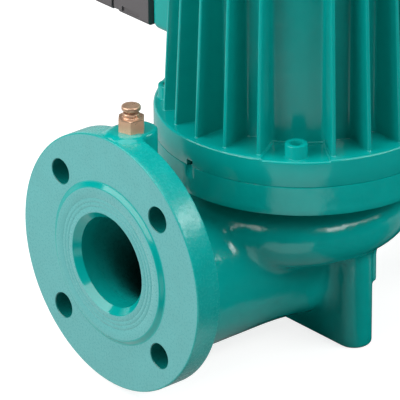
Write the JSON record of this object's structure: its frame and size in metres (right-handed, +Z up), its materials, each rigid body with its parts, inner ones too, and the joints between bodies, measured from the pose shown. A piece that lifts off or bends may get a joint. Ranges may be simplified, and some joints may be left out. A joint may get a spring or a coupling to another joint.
{
  "type": "centrifugal water pump",
  "caption": "In-line centrifugal water pump: upright finned motor on a spiral casing with a web foot, flanged ports on one line, terminal box and a hand-turned brass air vent.",
  "frame": {"origin": "middle of the foot's base, under the motor's axis", "axes": "+Z up along the motor's axis, +X along the pipe line from suction to discharge, +Y towards the terminal box"},
  "size_m": [0.36, 0.269, 0.3923],
  "materials": {
    "teal_paint": "satin gloss",
    "brass": "machined",
    "cast_steel": "as cast",
    "bright_steel": "ground",
    "bronze": "cast",
    "rubber": "matte",
    "carbon": "lapped",
    "ceramic": "lapped",
    "copper": "varnished wire",
    "grey_plastic": "moulded",
    "terminal_moulding": "moulded",
    "nylon": "moulded",
    "gasket_fibre": "pressed fibre"
  },
  "bodies": {
    "pump_body": {"volute_casing": "teal_paint", "wear_ring": "bronze", "casing_cover": "cast_steel", "casing_gasket": "gasket_fibre", "seal_seat": "ceramic", "seal_seat_cup": "rubber", "casing_screw_1": "teal_paint", "casing_screw_2": "teal_paint", "casing_screw_3": "teal_paint", "casing_screw_4": "teal_paint", "vent_body": "brass", "motor_housing": "teal_paint", "stator_core": "cast_steel", "lower_winding": "copper", "upper_winding": "copper", "lower_bearing_outer_ring": "bright_steel", "upper_bearing_outer_ring": "bright_steel", "preload_washer": "bright_steel", "upper_end_shield": "teal_paint", "end_shield_screw_1": "bright_steel", "end_shield_screw_2": "bright_steel", "end_shield_screw_3": "bright_steel", "end_shield_screw_4": "bright_steel", "fan_cover": "teal_paint", "fan_cover_screw_1": "bright_steel", "fan_cover_screw_2": "bright_steel", "fan_cover_screw_3": "bright_steel", "fan_cover_screw_4": "bright_steel", "terminal_box_base": "grey_plastic", "terminal_box_gasket": "rubber", "terminal_box_lid": "grey_plastic", "lid_screw_1": "bright_steel", "lid_screw_2": "bright_steel", "lid_screw_3": "bright_steel", "lid_screw_4": "bright_steel", "terminal_block": "terminal_moulding", "box_screw_1": "bright_steel", "box_screw_2": "bright_steel", "cable_gland_body": "grey_plastic", "cable_gland_cap": "grey_plastic"},
    "rotor": {"motor_shaft": "bright_steel", "rotor_core": "cast_steel", "impeller": "bronze", "impeller_nut": "bright_steel", "impeller_washer": "bright_steel", "impeller_key": "bright_steel", "seal_face": "carbon", "seal_bellows": "rubber", "seal_spring": "bright_steel", "slinger_ring": "rubber", "lower_bearing_inner_ring": "bright_steel", "upper_bearing_inner_ring": "bright_steel", "cooling_fan": "grey_plastic", "fan_clip": "bright_steel"},
    "lower_ball_set": {"lower_bearing_balls": "bright_steel"},
    "upper_ball_set": {"upper_bearing_balls": "bright_steel"},
    "vent_tip": {"vent_seal": "nylon"},
    "vent_knob": {"vent_screw": "brass"}
  },
  "joints": [
    {"name": "shaft_spin", "type": "hinge", "parent": "pump_body", "child": "rotor", "pos_m": [0, 0, 0.24], "axis": [0, 0, 1], "continuous": true},
    {"name": "lower_cage_spin", "type": "hinge", "parent": "pump_body", "child": "lower_ball_set", "pos_m": [0, 0, 0.17], "axis": [0, 0, 1], "continuous": true},
    {"name": "upper_cage_spin", "type": "hinge", "parent": "pump_body", "child": "upper_ball_set", "pos_m": [0, 0, 0.346], "axis": [0, 0, 1], "continuous": true},
    {"name": "vent_lift", "type": "slide", "parent": "pump_body", "child": "vent_tip", "axis": [0, 0, 1], "range_m": [0, 0.002]},
    {"name": "vent_turn", "type": "hinge", "parent": "vent_tip", "child": "vent_knob", "pos_m": [-0.1562, 0, 0.2], "axis": [0, 0, 1], "range_deg": [0, 720]}
  ],
  "couplings": [
    {"joint": "lower_cage_spin", "follows": "shaft_spin", "ratio": 0.4021},
    {"joint": "upper_cage_spin", "follows": "shaft_spin", "ratio": 0.3876},
    {"joint": "vent_lift", "follows": "vent_turn", "m_per_rad": 0.000159}
  ]
}
